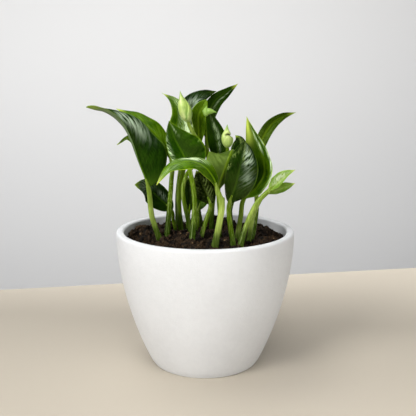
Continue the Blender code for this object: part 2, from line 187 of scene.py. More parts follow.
class Paint:
    # a material with one Principled shader; fixed holds what is the same all over the surface
    def __init__(self, name, fixed):
        self.material = bpy.data.materials.new(name)
        self.material.use_nodes = True
        self.tree = self.material.node_tree
        self.tree.nodes.clear()
        output = self.tree.nodes.new("ShaderNodeOutputMaterial")
        self.shader = self.tree.nodes.new("ShaderNodeBsdfPrincipled")
        self.tree.links.new(self.shader.outputs[0], output.inputs["Surface"])
        for key, value in fixed.items():
            self.shader.inputs[key].default_value = value

    def node(self, kind, settings=None, values=None, output=0):
        made = self.tree.nodes.new(kind)
        for key, value in (settings or {}).items():
            setattr(made, key, value)
        for key, value in (values or {}).items():
            self.connect(made.inputs[key], value)
        return Link(self, made.outputs[output])

    def connect(self, socket, value):
        if isinstance(value, Link):
            self.tree.links.new(value.socket, socket)
        elif isinstance(value, tuple) and socket.type == "RGBA":
            socket.default_value = (*value, 1.0)
        else:
            socket.default_value = value

    def feed(self, **values):
        # names of the shader's sockets, written together: BaseColor is its Base Color
        for key, value in values.items():
            socket = "".join(" " + letter if letter.isupper() else letter for letter in key).strip()
            self.connect(self.shader.inputs[socket], value)
        return self.material

    def value(self, name):
        # an attribute of the mesh
        return self.node("ShaderNodeAttribute", {"attribute_name": name}, output="Fac")

    def place(self, stretch=(1, 1, 1)):
        # object coordinates; a small stretch draws a pattern out along that axis
        spot = self.node("ShaderNodeTexCoord", output="Object")
        return self.node("ShaderNodeMapping", values={"Vector": spot, "Scale": stretch})

    def vector(self, x, y, z):
        return self.node("ShaderNodeCombineXYZ", values={"X": x, "Y": y, "Z": z})

    def teeth(self, value):
        # a saw: 1 where the value is whole, 0 half way between
        part = self.node("ShaderNodeMath", {"operation": "FRACT"}, {0: value})
        return abs(part - 0.5) * 2.0

    def cloud(self, where, scale, detail=3.0, roughness=0.55):
        return self.node("ShaderNodeTexNoise", values={
            "Vector": where, "Scale": scale, "Detail": detail, "Roughness": roughness})

    def rise(self, value, low, high, to=(0.0, 1.0)):
        # an s-curve from low to high, or falling where low is the larger
        return self.node("ShaderNodeMapRange", {"interpolation_type": "SMOOTHSTEP"}, {
            "Value": value, "From Min": low, "From Max": high, "To Min": to[0], "To Max": to[1]})

    def blend(self, factor, first, second):
        # a mix of two colours
        return self.node("ShaderNodeMix", {"data_type": "RGBA"}, {0: factor, 6: first, 7: second}, output=2)

    def bump(self, height, distance, strength=1.0):
        return self.node("ShaderNodeBump", values={
            "Height": height, "Distance": distance, "Strength": strength})


stageSet = {
    "cameraAt": (0.0, -0.5202, 0.2240),
    "cameraPitch": 10.83,        # degrees down
    "lens": 57.94, "sensor": 36, "shift": 0.0068,
    "tableEdge": ((-1.2, 0.0), (1.3, 0.454)),     # the table's back edge, on the floor plane
    "tableFront": -2.0, "tableFlare": 0.6,        # its front, and how much wider it is there on each side
    "wallAt": 1.25, "wallSide": 3, "wallFrom": -1.2, "wallTo": 2.5,
    "tableRough": 0.6, "wallRough": 0.9,
    "table": (0.460, 0.412, 0.338),
    "wall": (0.812, 0.809, 0.806),
}


def makeStage(s):
    camera = bpy.data.cameras.new("camera")
    camera.lens = s["lens"]
    camera.sensor_width = s["sensor"]
    camera.shift_x = s["shift"]
    cameraObject = bpy.data.objects.new("camera", camera)
    cameraObject.location = s["cameraAt"]
    cameraObject.rotation_euler = (math.radians(90 - s["cameraPitch"]), 0, 0)
    bpy.context.scene.collection.objects.link(cameraObject)
    bpy.context.scene.camera = cameraObject

    (x1, y1), (x2, y2) = s["tableEdge"]
    front, flare = s["tableFront"], s["tableFlare"]
    tablePoints = [(x1, y1, 0), (x1 - flare, front, 0), (x2 + flare, front, 0), (x2, y2, 0)]
    addStage("table_top", tablePoints, s["table"], s["tableRough"])
    side, y, low, high = s["wallSide"], s["wallAt"], s["wallFrom"], s["wallTo"]
    wallPoints = [(-side, y, low), (side, y, low), (side, y, high), (-side, y, high)]
    addStage("wall", wallPoints, s["wall"], s["wallRough"])


def addStage(name, points, colour, roughness):
    mesh = bpy.data.meshes.new(name)
    mesh.from_pydata(points, [], [tuple(range(len(points)))])
    paint = Paint(name, {"Roughness": roughness, "Base Color": (*colour, 1.0)})
    mesh.materials.append(paint.material)
    plane = bpy.data.objects.new(name, mesh)
    bpy.context.scene.collection.objects.link(plane)


def addLight(name, at, target, size, power, spread=180, glossy=True):
    light = bpy.data.lights.new(name, "AREA")
    light.shape = "RECTANGLE"
    light.size, light.size_y = size
    light.energy = power
    light.spread = math.radians(spread)
    lamp = bpy.data.objects.new(name, light)
    lamp.location = at
    lamp.visible_glossy = glossy      # the room's bounced light leaves no mirror image on the leaves
    lamp.rotation_euler = (Vector(target) - Vector(at)).to_track_quat("-Z", "Y").to_euler()
    bpy.context.scene.collection.objects.link(lamp)


# where each light stands, what it faces, its size in metres and its power in watts
lightSet = {
    "room": (0.86, 0.88, 0.90), "roomStrength": 0.09,
    "lamps": {
        "window": dict(at=(-0.75, -0.80, 0.75), target=(0, 0, 0.12), size=(0.5, 0.7), power=14.4),
        "fill": dict(at=(1.0, -0.9, 0.6), target=(0, 0, 0.1), size=(1.0, 0.8), power=7.0, glossy=False),
        "near_floor": dict(at=(0.15, -0.62, 0.7), target=(0.14, -0.30, 0.0), size=(0.5, 0.2), power=0.7,
                           spread=60),
        "ceiling": dict(at=(-0.3, 0.1, 1.1), target=(0, 0, 0.1), size=(0.8, 0.5), power=6.0,
                        glossy=False),
        "wall_wash": dict(at=(-0.25, 0.28, 0.4), target=(-0.15, 1.25, -0.01), size=(2.0, 0.5), power=8.0),
    },
}


def makeLight(s):
    world = bpy.data.worlds.new("room")
    world.use_nodes = True
    background = world.node_tree.nodes["Background"]
    background.inputs["Color"].default_value = (*s["room"], 1.0)
    background.inputs["Strength"].default_value = s["roomStrength"]
    bpy.context.scene.world = world
    for name, lamp in s["lamps"].items():
        addLight(name, **lamp)
    bpy.context.scene.view_settings.view_transform = "Standard"


makeStage(stageSet)
makeLight(lightSet)
print("stage done")


potSet = {
    "baseRadius": 43.0 * mm,
    "bulge": 17.0 * mm, "shoulder": 0.9 * mm,         # how far the side's handles lean out
    "lowerHandle": 0.31, "upperHandle": 0.29,         # how far they reach, over the pot's height
    "wall": 6.0 * mm, "floor": 6.0 * mm, "rimRound": 1.8 * mm, "baseRound": 1.2 * mm,
    "sides": 200, "outerRows": 90, "innerRows": 40, "measureRows": 200,
    "white": (0.720, 0.729, 0.742), "shade": (0.677, 0.685, 0.698),
    "peel": 900.0, "grain": 260.0, "cloud": 22.0,     # patterns per metre
    "relief": 0.4 * mm, "roughness": (0.5, 0.62),
}


def potSide(s, t):
    # Bezier from the rim down to the base: its handles lean out by the shoulder and by the bulge
    top = np.array([potHigh.x, potHigh.z])
    bottom = np.array([s["baseRadius"], 0.0])
    upper = top + (s["shoulder"], -s["upperHandle"] * potHigh.z)
    lower = bottom + (s["bulge"], s["lowerHandle"] * potHigh.z)
    t = t[:, None]
    return top * (1 - t)**3 + upper * 3 * t * (1 - t)**2 + lower * 3 * t**2 * (1 - t) + bottom * t**3


def wallRadius(s, height, inset):
    # radius of the pot's side at a height, moved in by an inset
    side = potSide(s, np.linspace(1, 0, s["measureRows"]))
    return np.interp(height, side[:, 1], side[:, 0]) - inset


def arc(centre, radius, start, end, count=9):
    # centre + radius (cos, sin), between two angles in degrees
    turn = np.radians(np.linspace(start, end, count))
    return np.stack([centre[0] + radius * np.cos(turn), centre[1] + radius * np.sin(turn)], axis=1)


def revolve(profile, sides):
    # each (radius, height) point of the profile goes round the Z axis
    turn = np.linspace(0, 2 * np.pi, sides, endpoint=False)
    r, z = profile[:, 0, None], profile[:, 1, None]
    return np.stack([r * np.cos(turn), r * np.sin(turn), z + 0 * turn], axis=-1)


def makePot(s):
    r = s["rimRound"]
    rim = potHigh.z - r
    inner = np.linspace(s["floor"], rim - r, s["innerRows"])
    side = potSide(s, np.linspace(0, 1, s["outerRows"]))
    side = side[(side[:, 1] < rim) & (side[:, 1] > 2 * s["baseRound"])]
    base = s["baseRadius"] - s["baseRound"]
    profile = np.concatenate([
        [(poleRadius, s["floor"])], np.stack([wallRadius(s, inner, s["wall"]), inner], axis=1),
        arc((potHigh.x - s["wall"] + r, rim), r, 180, 90), arc((potHigh.x - r, rim), r, 90, 0),
        side, arc((base, s["baseRound"]), s["baseRound"], -20, -90), [(poleRadius, 0.0)]])
    paint = Paint("pot_glaze", {"Specular IOR Level": 0.35})
    spot = paint.place()
    peel = paint.cloud(spot, s["peel"], 2.0)
    grain = paint.cloud(spot, s["grain"])
    tint = paint.rise(paint.cloud(spot, s["cloud"]) * 0.7 + grain * 0.3, 0.35, 0.7)
    look = paint.feed(BaseColor=paint.blend(tint, s["white"], s["shade"]),
                      Roughness=paint.rise(grain, 0.3, 0.7, s["roughness"]),
                      Normal=paint.bump(peel * 0.6 + grain * 0.4, s["relief"], 0.8))
    addRings("pot_shell", revolve(profile, s["sides"]), {}, look, ["pot"])


makePot(potSet)
print("pot done")


soilSet = {
    "drop": 5.6 * mm,                     # rim down to the soil
    "heap": 2.0 * mm,                     # rise from its edge to its middle
    "dip": 2.3 * mm, "dipFrom": 0.7,      # how far it drops at the wall, and where that starts
    "clumps": ((9 * mm, 1.0), (4 * mm, 0.7), (1.8 * mm, 0.4)),      # size and share of each kind
    "rough": 2.6 * mm, "calm": 0.6, "calmFrom": 0.85,               # their height, and less at the wall
    "settle": 0.6 * mm,                   # the bed lies lower, to leave room for what is strewn on it
    "rings": 110, "sides": 300, "hub": 0.002, "wallRows": 14, "wallFrom": 4 * mm,
    "lumps": dict(count=1000, sizes=(1.1 * mm, 3.6 * mm), rings=4, around=7, seed=11),
    "crumbs": dict(count=6000, sizes=(0.35 * mm, 1.4 * mm), rings=2, around=5, seed=12),
    "spread": 0.985, "offWall": 1.1,      # how far out they lie, and how many radii off the wall
    "mostlySmall": 2.8, "uneven": 0.5, "flattest": 0.65, "fatter": 0.5, "bury": 0.12,
    "brownFleck": (0.55, 0.9), "brownMark": 0.6, "barkFleck": (0.96, 0.985),
    "barkUnder": 1.6 * mm, "plain": 0.94,      # larger lumps have less fleck, so that none is bark
    "black": (0.005, 0.0036, 0.0026), "brown": (0.050, 0.030, 0.016), "tan": (0.24, 0.15, 0.075),
    "fine": 700.0, "coarse": 160.0, "relief": 1.3 * mm, "roughness": (0.7, 0.95),
}
soilLevel = potHigh.z - soilSet["drop"]
soilEdge = float(wallRadius(potSet, soilLevel, potSet["wall"])) - clearance


def soilHeight(s, x, y):
    # level + heap (1 - r^2) - dip + clumps, which are calmer near the wall
    spot = np.stack([x, y, 0 * x], axis=-1)
    clumps = sum(share * noise(spot, cell, seed) for seed, (cell, share) in enumerate(s["clumps"], 1))
    r = np.hypot(x, y)
    heap = s["heap"] * (1 - (r / soilEdge)**2) - s["dip"] * ease(r, s["dipFrom"] * soilEdge, soilEdge)
    calm = 1 - s["calm"] * ease(r, s["calmFrom"] * soilEdge, soilEdge)
    return soilLevel + heap + s["rough"] * clumps * calm - s["settle"]


def soilPaint(s):
    paint = Paint("potting_soil", {"Specular IOR Level": 0.15})
    spot = paint.place()
    fine = paint.cloud(spot, s["fine"], 4.0, 0.65)
    coarse = paint.cloud(spot, s["coarse"])
    fleck = paint.value("fleck")
    ground = paint.blend(paint.rise(fine * 0.5 + coarse * 0.5, 0.46, 0.60), s["black"], s["brown"])
    ground = paint.blend(paint.rise(fleck, *s["brownFleck"]) * s["brownMark"], ground, s["brown"])
    bark = paint.rise(fleck, *s["barkFleck"]) * paint.rise(fine, 0.3, 0.6)
    return paint.feed(BaseColor=paint.blend(bark, ground, s["tan"]),
                      Roughness=paint.rise(coarse, 0.3, 0.7, s["roughness"]),
                      Normal=paint.bump(fine * 0.6 + coarse * 0.8, s["relief"], 0.9))


def scatter(s, count, sizes, rings, around, seed):
    # lumps: small balls, (sin a cos b, sin a sin b, cos a), each made uneven, squashed, turned and
    # set on the soil, most of them small
    draw = np.random.default_rng(seed)
    radius = soilEdge * np.sqrt(draw.random(count)) * s["spread"]
    turn = draw.random(count) * 2 * np.pi
    size = sizes[0] + (sizes[1] - sizes[0]) * draw.random(count) ** s["mostlySmall"]
    radius = np.minimum(radius, soilEdge - size * s["offWall"])
    x, y = radius * np.cos(turn), radius * np.sin(turn)
    tilt = np.linspace(0, np.pi, rings + 2)[1:-1]
    spin = np.linspace(0, 2 * np.pi, around, endpoint=False)
    ball = np.stack([np.sin(tilt)[:, None] * np.cos(spin), np.sin(tilt)[:, None] * np.sin(spin),
                     np.cos(tilt)[:, None] + 0 * spin], axis=-1)
    points, faces = closedRings(ball)
    uneven = 1 + s["uneven"] * (draw.random((count, len(points), 1)) * 2 - 1)
    squash = s["flattest"] + s["fatter"] * draw.random((count, 1, 3))
    axes = np.linalg.qr(draw.normal(size=(count, 3, 3)))[0]
    shaped = np.einsum("nij,npj->npi", axes, points[None] * uneven * squash) * size[:, None, None]
    centre = np.stack([x, y, soilHeight(s, x, y) + s["bury"] * size], axis=-1)
    shaped += centre[:, None]
    offset = np.arange(count) * len(points)
    joined = []
    for corners in (4, 3):
        group = np.array([face for face in faces if len(face) == corners])
        joined += (group[None] + offset[:, None, None]).reshape(-1, corners).tolist()
    fleck = draw.random(count) * np.where(size > s["barkUnder"], s["plain"], 1)
    return shaped.reshape(-1, 3), joined, np.repeat(fleck, len(points))


def makeSoil(s):
    look = soilPaint(s)
    bottom = potSet["floor"] + clearance
    radii = np.linspace(s["hub"], 1, s["rings"]) * soilEdge
    turn = np.linspace(0, 2 * np.pi, s["sides"], endpoint=False)
    x, y = radii[:, None] * np.cos(turn), radii[:, None] * np.sin(turn)
    top = np.stack([x, y, soilHeight(s, x, y)], axis=-1)
    heights = np.linspace(soilLevel - s["wallFrom"], bottom, s["wallRows"])
    wall = np.stack([wallRadius(potSet, heights, potSet["wall"] + clearance), heights], axis=1)
    under = np.array([(poleRadius, bottom)])
    rings = np.concatenate([top, revolve(wall, s["sides"]), revolve(under, s["sides"])])
    addRings("soil_bed", rings, {"fleck": np.zeros(rings.shape[:2])}, look, ["soil"])
    for kind in ("lumps", "crumbs"):
        points, faces, fleck = scatter(s, **s[kind])
        addPiece("soil_" + kind, points, faces, look, values={"fleck": fleck}, smooth=False)


makeSoil(soilSet)
print("soil done")


# Every shoot in millimetres from the middle of the soil's surface: +X right, -Y to the front.
# stalk: from the soil to the blade, with its radius at the soil. sheath: where up the stalk a leaf
# sheath opens. light: how pale the stalk is. rib: the blade's midrib, from the stalk to the tip.
# face: the way the upper face looks, at even steps along the rib. half: widest half width.
# These have one value for each side of the rib, left then right, seen on the upper face with the tip
# up. wide scales the half width, fold tips the side up in degrees, and curl bends it further by its
# margin. peak is where along the rib the side is widest. taper: 1 tapers straight to the tip, more
# draws it out. tone scales the colour: partly the leaf's own depth of green and partly painted light
# and shade, lighter on a side that lies in the light and darker on one that lies in shadow.
# look: its colours, in leafColours. pale: how far the tip pales. fades and patches are spots as
# (along, across, length, width, power): a fade pales the blade towards its tip colour, partly the
# leaf's own paler colour and partly a painted sheen; a patch is a painted highlight where its power
# is above 0 and painted shade where it is below 0.
shoots = {
    "left_large": dict(
        stalk=[(-35, -16, 0), (-41, -17, 20)], radius=2.2, light=0.25,
        rib=[(-43, -20, 42), (-50, -22, 63), (-57, -25, 83), (-64, -28, 93), (-72, -31, 99),
             (-79, -34, 101), (-85, -37, 103)],
        face=[(0.75, -0.65, 0.1), (0.7, -0.6, 0.3), (0.22, -0.45, 0.85)],
        half=22, wide=(0.45, 1.08), fold=(50, 38), curl=(10, -25), peak=(0.8, 0.26), taper=(0.55, 2.0),
        look="dark", tone=(2.0, 1.9), paleSheens=[(0.9, -0.7, 0.09, 0.6, 0.5)],
        paintedLightPatches=[(0.66, 0.55, 0.1, 0.3, 1.3), (0.52, 0.6, 0.1, 0.3, 0.5),
                 (0.93, -0.5, 0.12, 0.7, 1.2), (0.85, 0.5, 0.08, 0.5, -0.8)]),
    "left_bright": dict(
        stalk=[(-30, -11, 0), (-28, -3, 25), (-27, 8, 42)], radius=2.1,
        rib=[(-27, 13, 58), (-37, 15, 76), (-52, 21, 89), (-72, 29, 99)],
        face=[(0.1, -0.5, 0.9)],
        half=7.8, wide=(1.0, 1.15), fold=(25, 25), curl=(-10, -10), peak=(0.45, 0.45),
        look="bright",
        paintedLightPatches=[(0.7, 0.5, 0.2, 0.3, 0.06), (0.15, 0, 0.2, 1, -0.5)]),
    "centre": dict(
        stalk=[(-10, -29, 0), (-8, -18, 31)], radius=2.2,
        rib=[(-12, -12, 55), (-16, -13, 65), (-23, -15, 79), (-27, -19, 92)],
        face=[(-0.2, -1.0, 0.25), (-0.3, -1.0, 0.1)],
        half=18, wide=(0.6, 1.05), fold=(25, 15), curl=(20, -10), peak=(0.32, 0.32),
        taper=(0.95, 0.95),
        look="mid", tone=(1.2, 1.1), pale=0.1,
        paintedLightPatches=[(0.45, -0.85, 0.3, 0.16, 1.3), (0.25, 0.6, 0.2, 0.5, -0.4),
                 (0.85, 0.3, 0.12, 0.1, 0.7)]),
    "front_arched": dict(
        stalk=[(7, -40, 0), (11, -42, 23), (12, -43, 34)], radius=2.5, sheath=44, light=0.5,
        rib=[(9, -44, 43), (6, -47, 53), (-1, -50, 62), (-12, -54, 66), (-26, -57, 62), (-34, -59, 50)],
        face=[(0.3, -0.9, 0.3), (0.0, -0.55, 0.85), (-0.6, -0.5, 0.6)],
        half=12, wide=(0.7, 1), fold=(5, -20), curl=(-10, -10), peak=(0.55, 0.5),
        look="bright", tone=(1.15, 1.15),
        paintedLightPatches=[(0.45, 0.65, 0.13, 0.3, 2.0), (0.8, -0.4, 0.15, 0.4, 0.3), (0.16, 0, 0.16, 1, -0.9)]),
    "middle_olive": dict(
        stalk=[(11, -15, 0), (11, -27, 22)], radius=1.8,
        rib=[(10, -25, 41), (14, -26, 55), (18, -26, 66), (20, -21, 70), (21, -14, 70)],
        face=[(0.1, 1.0, 0.2), (0.1, 1.0, 0.0), (0.05, 0.4, -1.0)],
        half=17.5, wide=(0.4, 1), fold=(15, 15), curl=(10, 10), peak=(0.55, 0.58), taper=(0.6, 0.6),
        look="olive", pale=0.3),
    "front_round": dict(
        stalk=[(21, -34, 0), (18, -30, 21)], radius=2.1,
        rib=[(18, -32, 32), (22, -35, 45), (25, -36, 58), (27, -35, 68), (29, -31, 78)],
        face=[(-0.1, -1.0, 0.15), (0.0, -1.0, 0.4)],
        half=12.4, wide=(0.78, 1.15), fold=(10, 10), curl=(-30, -30), peak=(0.5, 0.5),
        taper=(0.7, 0.8),
        look="dark", pale=0,
        paintedLightPatches=[(0.76, 0.42, 0.12, 0.25, 2.0), (0.45, 0.5, 0.12, 0.3, 0.5)]),
    "right_rear": dict(
        stalk=[(19, 36, 0), (22, 28, 20), (26, 12, 37)], radius=1.7,
        rib=[(27, 4, 52), (27, 6, 66), (27, 9, 75), (24, 12, 79)],
        face=[(0.1, -1.0, 0.3)],
        half=7.5, fold=(10, 10), curl=(0, 0), peak=(0.45, 0.45),
        look="dark"),
    "right_tall": dict(
        stalk=[(24, -23, 0), (27, -22, 20)], radius=2.1, light=0.1,
        rib=[(29, -22, 33), (39, -19, 42), (45, -17, 53), (43, -16, 66), (37, -15, 80), (31, -14, 95)],
        face=[(-0.5, -0.85, 0.0), (-0.5, -0.85, 0.1), (-0.5, -0.85, 0.0)],
        half=15, wide=(1.0, 0.95), fold=(15, 35), curl=(0, 15), peak=(0.33, 0.42),
        look="bright", tone=(0.8, 1.5), paleSheens=[(0.88, -0.55, 0.12, 0.4, 1.0)],
        paintedLightPatches=[(0.35, -0.6, 0.25, 0.7, -1.3), (0.72, 0.15, 0.12, 0.15, 2.0),
                 (0.5, 0.85, 0.22, 0.12, 1.6), (0.68, -0.7, 0.06, 0.4, -0.9)]),
    "far_right": dict(
        stalk=[(36, -18, 0), (40, -8, 22), (40, 0, 39)], radius=1.9,
        rib=[(41, 6, 52), (43, 11, 70), (51, 18, 85), (62, 25, 93), (74, 31, 96)],
        face=[(-0.3, -0.9, 0.1)],
        half=6.6, wide=(0.72, 0.9), fold=(15, 15), curl=(0, 0), peak=(0.45, 0.45),
        look="olive", tone=(0.6, 0.8),
        paintedLightPatches=[(0.5, 0.7, 0.3, 0.3, 0.25)]),
    "top_arched": dict(
        stalk=[(-23, 32, 0), (-23, 27, 28), (-19, 20, 58)], radius=1.8,
        rib=[(-15, 18, 77), (-15, 22, 93), (-8, 26, 105), (0, 29, 110), (9, 31, 113)],
        face=[(-0.5, -0.7, 0.5), (-0.2, -0.7, 0.7)],
        half=9.8, fold=(15, 15), curl=(-10, -10), peak=(0.5, 0.5),
        look="dark", tone=(0.9, 0.9), pale=0.1,
        paintedLightPatches=[(0.55, 0.1, 0.14, 0.5, 2.0)]),
    "top_right": dict(
        stalk=[(2, 32, 0), (5, 28, 24), (3, 22, 54)], radius=1.8,
        rib=[(1, 24, 74), (1, 26, 90), (7, 30, 104), (17, 34, 112), (27, 38, 119)],
        face=[(0.1, -1.0, 0.2)],
        half=8.2, wide=(0.7, 0.85), fold=(15, 15), curl=(0, 0), peak=(0.45, 0.45),
        look="mid", tone=(0.7, 0.45), pale=0.9,
        paintedLightPatches=[(0.7, 0.35, 0.2, 0.1, 1.0)]),
    "rear_olive": dict(
        stalk=[(-10, -8, 0), (-17, -7, 33), (-15, -4, 48), (-8, 3, 58)], radius=1.8,
        rib=[(-6, 7, 67), (-5, 9, 82), (-5, 10, 95), (1, 10, 107)],
        face=[(-0.2, -1.0, 0.0)],
        half=6.8, fold=(10, 10), curl=(20, 20), peak=(0.6, 0.6), taper=(0.7, 0.7),
        look="olive", tone=(2.2, 2.2), pale=0.1),
    "middle_dark": dict(
        stalk=[(5, 10, 0), (6, 6, 23)], radius=1.8,
        rib=[(10, 2, 59), (9, 2, 76), (5, 1, 90), (1, -1, 102)],
        face=[(0.1, -1.0, 0.2)],
        half=7.6, fold=(10, 10), curl=(0, 0), peak=(0.38, 0.38), taper=(1.2, 1.2),
        look="mid", tone=(0.55, 0.55), pale=0.2,
        paintedLightPatches=[(0.5, 0.15, 0.28, 0.2, 1.6)]),
    "upper_left": dict(
        stalk=[(-19, 4, 0), (-21, 4, 28)], radius=2.3,
        rib=[(-17, 4, 54), (-14, 5, 68), (-17, 5, 84), (-19, 6, 97), (-25, 9, 106), (-34, 14, 112)],
        face=[(-0.1, -1.0, 0.3)],
        half=12.5, wide=(1.05, 0.7), fold=(15, 15), curl=(0, 0), peak=(0.34, 0.42), taper=(1.7, 1.4),
        look="bright",
        paintedLightPatches=[(0.5, 0.45, 0.22, 0.5, 2.8), (0.45, -0.7, 0.3, 0.4, -0.3)]),
    "low_left": dict(
        stalk=[(-24, 17, 0), (-26, 13, 10)], radius=1.6,
        rib=[(-27, 8, 19), (-37, 4, 30), (-45, -4, 39), (-54, -12, 43)],
        face=[(-0.2, -0.9, 0.4)],
        half=9.5, fold=(15, 15), curl=(-10, -10), peak=(0.45, 0.45), taper=(0.8, 0.8),
        look="dark", tone=(1.3, 1.3),
        paintedLightPatches=[(0.8, 0, 0.16, 0.9, 0.5), (0.35, 0.4, 0.12, 0.2, 0.8)]),
    "left_rear": dict(
        stalk=[(-39, 2, 0), (-42, 4, 16), (-44, 6, 36)], radius=1.5,
        rib=[(-44, 8, 55), (-49, 12, 66), (-60, 18, 76), (-72, 26, 70)],
        face=[(0.1, -0.7, 0.8)],
        half=4.7, fold=(20, 20), curl=(-10, -10), peak=(0.45, 0.45),
        look="olive"),
    "inner_left": dict(
        stalk=[(-16, 10, 0), (-14, 6, 10)], radius=1.5,
        rib=[(-13, 4, 18), (-12, 3, 32), (-14, 2, 48)],
        face=[(0.1, -1.0, 0.1)],
        half=5, fold=(20, 20), curl=(-10, -10), peak=(0.45, 0.45),
        look="dark",
        paintedLightPatches=[(0.6, 0.4, 0.12, 0.3, 0.6)]),
    "inner_dark": dict(
        stalk=[(-4, -20, 0), (1, -16, 17)], radius=1.9,
        rib=[(4, -13, 27), (0, -8, 37), (-7, -3, 53)],
        face=[(0.1, -1.0, 0.2)],
        half=8.5, fold=(10, 10), curl=(-10, -10), peak=(0.45, 0.45),
        look="olive", tone=(0.1, 0.1)),
    "inner_small": dict(
        stalk=[(-8, -1, 0), (-6, 0, 11)], radius=1.5,
        rib=[(-6, 4, 19), (-3, 6, 28), (1, 10, 40)],
        face=[(0.1, -1.0, 0.2)],
        half=5.5, fold=(10, 10), curl=(0, 0), peak=(0.45, 0.45),
        look="mid"),
    "young_upper": dict(
        stalk=[(26, -37, 0), (31, -32, 16), (38, -33, 32)], radius=2.1, light=0.22,
        rib=[(47, -34, 42), (53, -38, 48), (58, -42, 54), (64, -46, 59)],
        face=[(-0.3, -0.8, 0.5)],
        half=5, wide=(1.2, 1), fold=(30, 30), curl=(10, 10), peak=(0.42, 0.42),
        look="young", tone=(0.88, 0.88),
        paintedLightPatches=[(0.5, -0.2, 0.28, 0.4, 2.6)]),
    "young_lower": dict(
        stalk=[(33, -24, 0), (36, -24, 19), (40, -26, 31)], radius=1.7, light=0.2,
        rib=[(45, -27, 38), (55, -24, 41), (68, -18, 45)],
        face=[(-0.2, -0.8, 0.5)],
        half=4.6, fold=(20, 20), curl=(10, 10), peak=(0.45, 0.45),
        look="young", tone=(0.5, 0.5)),
}
# Leaves that are still rolled up: the rib is the bud's axis, half its largest radius, and gap how
# deep the roll has opened.
buds = {
    "tall": dict(
        stalk=[(-3, 24, 0), (-6, 16, 24), (-4, 6, 48), (-6, -2, 74)], radius=1.8, light=0.4,
        rib=[(-13, -4, 90), (-19, -4, 114)], half=5.2),
    "small": dict(
        stalk=[(22, 28, 0), (20, 10, 23), (19, -4, 49)], radius=1.6,
        rib=[(17, -10, 71), (17, -10, 89)], half=4.6, gap=1.0),
}
# The curled end of middle_dark, as two small rolls. unripe: how green they still are.
curls = {
    "long": dict(rib=[(-2, -1, 98.5), (9, -6, 97.5)], half=2.6, unripe=0.7),
    "short": dict(rib=[(0.5, -4, 94.5), (1.5, -2, 103)], half=2.4, unripe=0.7),
}
rootDepth = 6 * mm       # how far a stalk goes into the soil


def shootCurve(shoot):
    # one smooth curve through root, stalk and rib, and the length at which the rib begins
    points = np.array(shoot["stalk"] + shoot["rib"], dtype=float) * mm + (0, 0, soilLevel)
    points = np.vstack([points[0] - (0, 0, rootDepth), points])
    curve = smoothCurve(points)
    joint = curve[1][curveSteps * (len(shoot["stalk"]) + 1)]
    return curve, joint


stalkSet = {
    "rings": 70, "around": 28, "taper": 0.8,
    "foot": 0.16, "footAt": 0.1, "footLong": 0.15,      # swelling at the soil, and where it is
    "reach": 7 * mm,                       # how far the stalk runs on below its blade
    "thin": 0.55, "thinFrom": 2 * mm,      # how much it thins there, and from how far below the joint
    "least": 0.05 * mm,
    "front": (0.25, -1.0, 0.1),            # the side that the groove runs down
    "groove": 0.16, "grooveWidth": 0.5,
    "edges": 0.03, "edgeCount": 5,         # it is faintly angular
    "sheathReach": 6 * mm, "sheathOut": 0.5, "sheathWide": 0.3, "sheathLip": 0.8 * mm,
    "lightAt": 0.6, "lightLong": 0.2,      # where up the stalk it is palest
    "lightAll": 0.5, "lightMore": 1.1,     # how pale it is all along, and how much more there
    "low": (0.032, 0.072, 0.002), "high": (0.105, 0.185, 0.006), "pale": (0.460, 0.580, 0.130),
    "footGreen": (0.020, 0.045, 0.002),
    "fibreMark": 0.4, "footTop": (0.46, 0.30), "footMark": 0.75,    # where the foot's green ends
    "fibres": 700.0, "blotches": 60.0, "relief": 0.15 * mm, "roughness": (0.20, 0.34),
    "specular": 0.3, "specularTint": (0.9, 1.0, 0.5, 1.0),
}


def stalkRings(s, shoot):
    # centre + radius (cos, sin) section: a groove down the front, a swollen foot and a thinner end
    # under the blade; the sheath is a flap that stands out on one side and ends in a lip
    curve, joint = shootCurve(shoot)
    length = joint + s["reach"]
    run = np.linspace(0, length, s["rings"])
    centre = along(curve, run)
    ahead = unit(np.gradient(centre, axis=0))
    front = np.array(s["front"]) + 0 * ahead
    front = unit(front - (front * ahead).sum(axis=1, keepdims=True) * ahead)
    side = np.cross(front, ahead)
    turn = np.linspace(0, 2 * np.pi, s["around"], endpoint=False)
    share = run / joint
    radius = shoot["radius"] * mm * (1 - (1 - s["taper"]) * share)
    radius = radius * (1 + s["foot"] * hump(share, s["footAt"], s["footLong"]))
    radius = radius * (1 - s["thin"] * ease(run, joint - s["thinFrom"], length)) + s["least"]
    apart = np.abs((turn - np.pi / 2 + np.pi) % (2 * np.pi) - np.pi)
    section = 1 - s["groove"] * hump(apart, 0, s["grooveWidth"])
    section = section + s["edges"] * np.cos(s["edgeCount"] * turn)
    opening = run - shoot.get("sheath", -1) * mm
    flap = ease(opening, -s["sheathReach"], 0) ** 2 * (1 - ease(opening, 0, s["sheathLip"]))
    flap = (flap * s["sheathOut"])[:, None] * hump(apart, np.pi / 2, s["sheathWide"])
    section = section + flap * (np.cos(turn) < 0)
    r = radius[:, None] * section
    rings = centre[:, None] + r[..., None] * (np.cos(turn)[:, None] * side[:, None]
                                              + np.sin(turn)[:, None] * front[:, None])
    palest = hump(share, s["lightAt"], s["lightLong"])
    light = shoot.get("light", 0.0) * (s["lightAll"] + s["lightMore"] * palest)
    return rings, {"share": share[:, None] + 0 * r, "light": light[:, None] + 0 * r}


